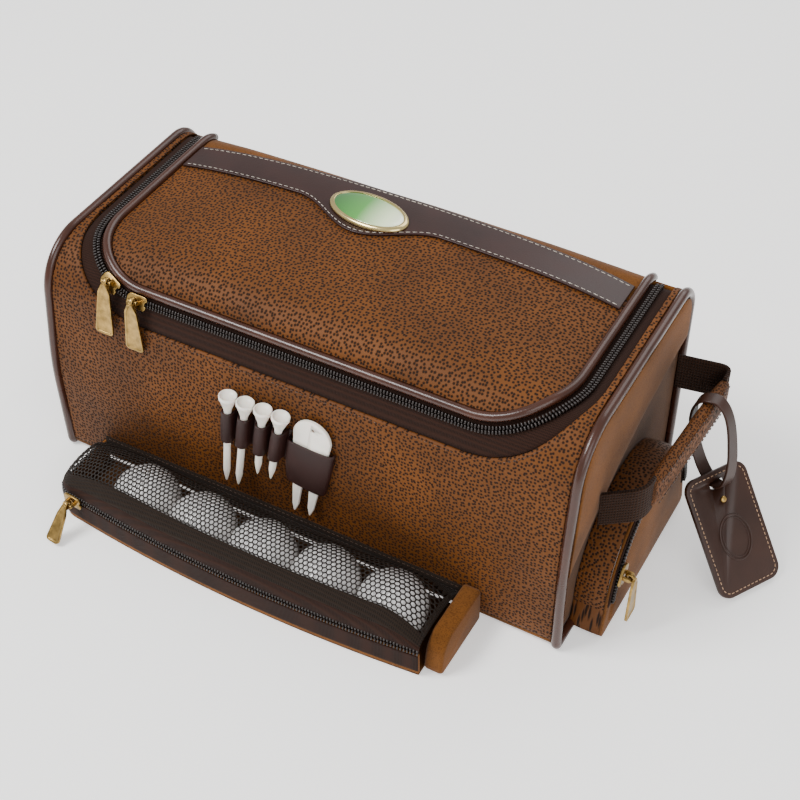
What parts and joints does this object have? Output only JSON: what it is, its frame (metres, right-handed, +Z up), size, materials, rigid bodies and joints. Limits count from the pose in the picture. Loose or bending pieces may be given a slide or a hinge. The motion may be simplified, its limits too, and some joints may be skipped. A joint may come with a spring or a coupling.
{
  "type": "golf trunk bag",
  "caption": "Leather golf trunk bag with a zipped lid, net ball pocket, tee loops, divot tool, end handles, end pocket and luggage tag.",
  "frame": {"origin": "on the ground under the middle of the bag body", "axes": "+X along the bag towards the end with the pocket and tag, +Y from the front with the net pocket to the back, +Z up"},
  "size_m": [0.4836, 0.2463, 0.1694],
  "materials": {
    "pebbled_leather": "pebbled, semi-matte",
    "suede": "napped, matte",
    "piping_cord": "glossy",
    "zip_tape": "woven, matte",
    "zip_coil": "satin",
    "board": "matte",
    "lining_cloth": "woven, matte",
    "dark_leather": "smooth, satin",
    "net_mesh": "open mesh, matte",
    "webbing": "ribbed, matte",
    "golf_ball": "glossy, dimpled",
    "ivory_plastic": "satin",
    "antique_brass": "antique, satin",
    "green_enamel": "polished enamel"
  },
  "bodies": {
    "bag": {"front_panel": "pebbled_leather", "back_panel": "suede", "base_panel": "suede", "right_side_panel": "suede", "left_side_panel": "suede", "right_yoke": "suede", "left_yoke": "suede", "right_piping": "piping_cord", "left_piping": "piping_cord", "body_zip_tape": "zip_tape", "body_zip_teeth": "zip_coil", "base_board": "board", "lining": "lining_cloth", "hinge_tape": "dark_leather", "tee_loops": "dark_leather", "tool_sleeve": "dark_leather", "pocket_base": "suede", "pocket_end_panel": "suede", "pocket_binding": "dark_leather", "pocket_zip_tape": "zip_tape", "pocket_zip_teeth": "zip_coil", "golf_balls": "golf_ball", "end_pocket_wall": "pebbled_leather", "end_pocket_face": "suede", "end_zip_tape": "zip_tape", "end_zip_teeth": "zip_coil"},
    "lid": {"lid_panel": "pebbled_leather", "lid_piping": "piping_cord", "lid_band": "dark_leather", "lid_zip_tape": "zip_tape", "lid_zip_teeth": "zip_coil", "lid_lining": "lining_cloth", "medallion_bezel": "antique_brass", "medallion_face": "green_enamel"},
    "left_zip_slider": {"left_slider": "antique_brass"},
    "left_zip_pull": {"left_pull": "antique_brass"},
    "right_zip_slider": {"right_slider": "antique_brass"},
    "right_zip_pull": {"right_pull": "antique_brass"},
    "tee_1": {"tee_1": "ivory_plastic"},
    "tee_2": {"tee_2": "ivory_plastic"},
    "tee_3": {"tee_3": "ivory_plastic"},
    "tee_4": {"tee_4": "ivory_plastic"},
    "divot_tool": {"divot_tool": "ivory_plastic"},
    "net_flap": {"net_cover": "net_mesh", "net_band": "webbing", "net_zip_tape": "zip_tape", "net_zip_teeth": "zip_coil"},
    "net_slider": {"net_slider": "antique_brass"},
    "net_pull": {"net_pull": "antique_brass"},
    "end_slider": {"end_slider": "antique_brass"},
    "end_pull": {"end_pull": "antique_brass"},
    "right_handle": {"right_webbing": "webbing", "right_grip": "pebbled_leather"},
    "left_handle": {"left_webbing": "webbing", "left_grip": "pebbled_leather"},
    "luggage_tag": {"tag_strap": "dark_leather", "tag_plate": "dark_leather", "tag_stud": "antique_brass"}
  },
  "joints": [
    {"name": "lid_fold", "type": "hinge", "parent": "bag", "child": "lid", "pos_m": [0, 0.07744, 0.15104], "axis": [-1, 0, 0], "range_deg": [0, 115]},
    {"name": "right_zip_run", "type": "slide", "parent": "lid", "child": "right_zip_slider", "axis": [1, 0, 0], "range_m": [0, 0.215]},
    {"name": "right_pull_swing", "type": "hinge", "parent": "right_zip_slider", "child": "right_zip_pull", "pos_m": [-0.109, -0.07586, 0.1415], "axis": [-1, 0, 0], "range_deg": [0, 100]},
    {"name": "left_zip_run", "type": "slide", "parent": "lid", "child": "left_zip_slider", "axis": [-0.9107, 0.2712, 0.3117], "range_m": [0, 0.012]},
    {"name": "left_pull_swing", "type": "hinge", "parent": "left_zip_slider", "child": "left_zip_pull", "pos_m": [-0.1299, -0.07245, 0.14601], "axis": [-1, 0, 0], "range_deg": [0, 100]},
    {"name": "tee_1_lift", "type": "slide", "parent": "bag", "child": "tee_1", "axis": [0.0783, 0.0593, 0.9952], "range_m": [0, 0.072]},
    {"name": "tee_2_lift", "type": "slide", "parent": "bag", "child": "tee_2", "axis": [0.1303, 0.0593, 0.9897], "range_m": [0, 0.072]},
    {"name": "tee_3_lift", "type": "slide", "parent": "bag", "child": "tee_3", "axis": [0.1217, 0.0593, 0.9908], "range_m": [0, 0.058]},
    {"name": "tee_4_lift", "type": "slide", "parent": "bag", "child": "tee_4", "axis": [0.1733, 0.0593, 0.9831], "range_m": [0, 0.058]},
    {"name": "divot_tool_lift", "type": "slide", "parent": "bag", "child": "divot_tool", "axis": [0.1303, 0.0593, 0.9897], "range_m": [0, 0.07]},
    {"name": "net_lift", "type": "hinge", "parent": "bag", "child": "net_flap", "pos_m": [0, -0.086, 0.0175], "axis": [-1, 0, 0], "range_deg": [0, 15]},
    {"name": "net_zip_run", "type": "hinge", "parent": "net_flap", "child": "net_slider", "pos_m": [0, 0.9565, 0.02], "axis": [0, 0, 1], "range_deg": [0, 12]},
    {"name": "net_pull_swing", "type": "hinge", "parent": "net_slider", "child": "net_pull", "pos_m": [-0.12878, -0.14268, 0.02], "axis": [-0.9932, 0.1164, 0], "range_deg": [0, 60]},
    {"name": "end_zip_run", "type": "hinge", "parent": "bag", "child": "end_slider", "pos_m": [0.19895, 0, 0.02], "axis": [-1, 0, 0], "range_deg": [0, 60]},
    {"name": "end_pull_swing", "type": "hinge", "parent": "end_slider", "child": "end_pull", "pos_m": [0.20415, -0.04981, 0.04538], "axis": [0, -1, 0], "range_deg": [0, 100]},
    {"name": "right_handle_lift", "type": "hinge", "parent": "bag", "child": "right_handle", "pos_m": [0.1803, -0.048, 0.1007], "axis": [0, -0.9896, -0.1439], "range_deg": [0, 35]},
    {"name": "left_handle_lift", "type": "hinge", "parent": "bag", "child": "left_handle", "pos_m": [-0.1803, -0.048, 0.1007], "axis": [0, 0.9896, 0.1439], "range_deg": [0, 35]},
    {"name": "luggage_tag_swing", "type": "hinge", "parent": "right_handle", "child": "luggage_tag", "pos_m": [0.20834, 0.041, 0.09883], "axis": [-0.0503, -0.9984, 0.0252], "range_deg": [0, 25]}
  ]
}
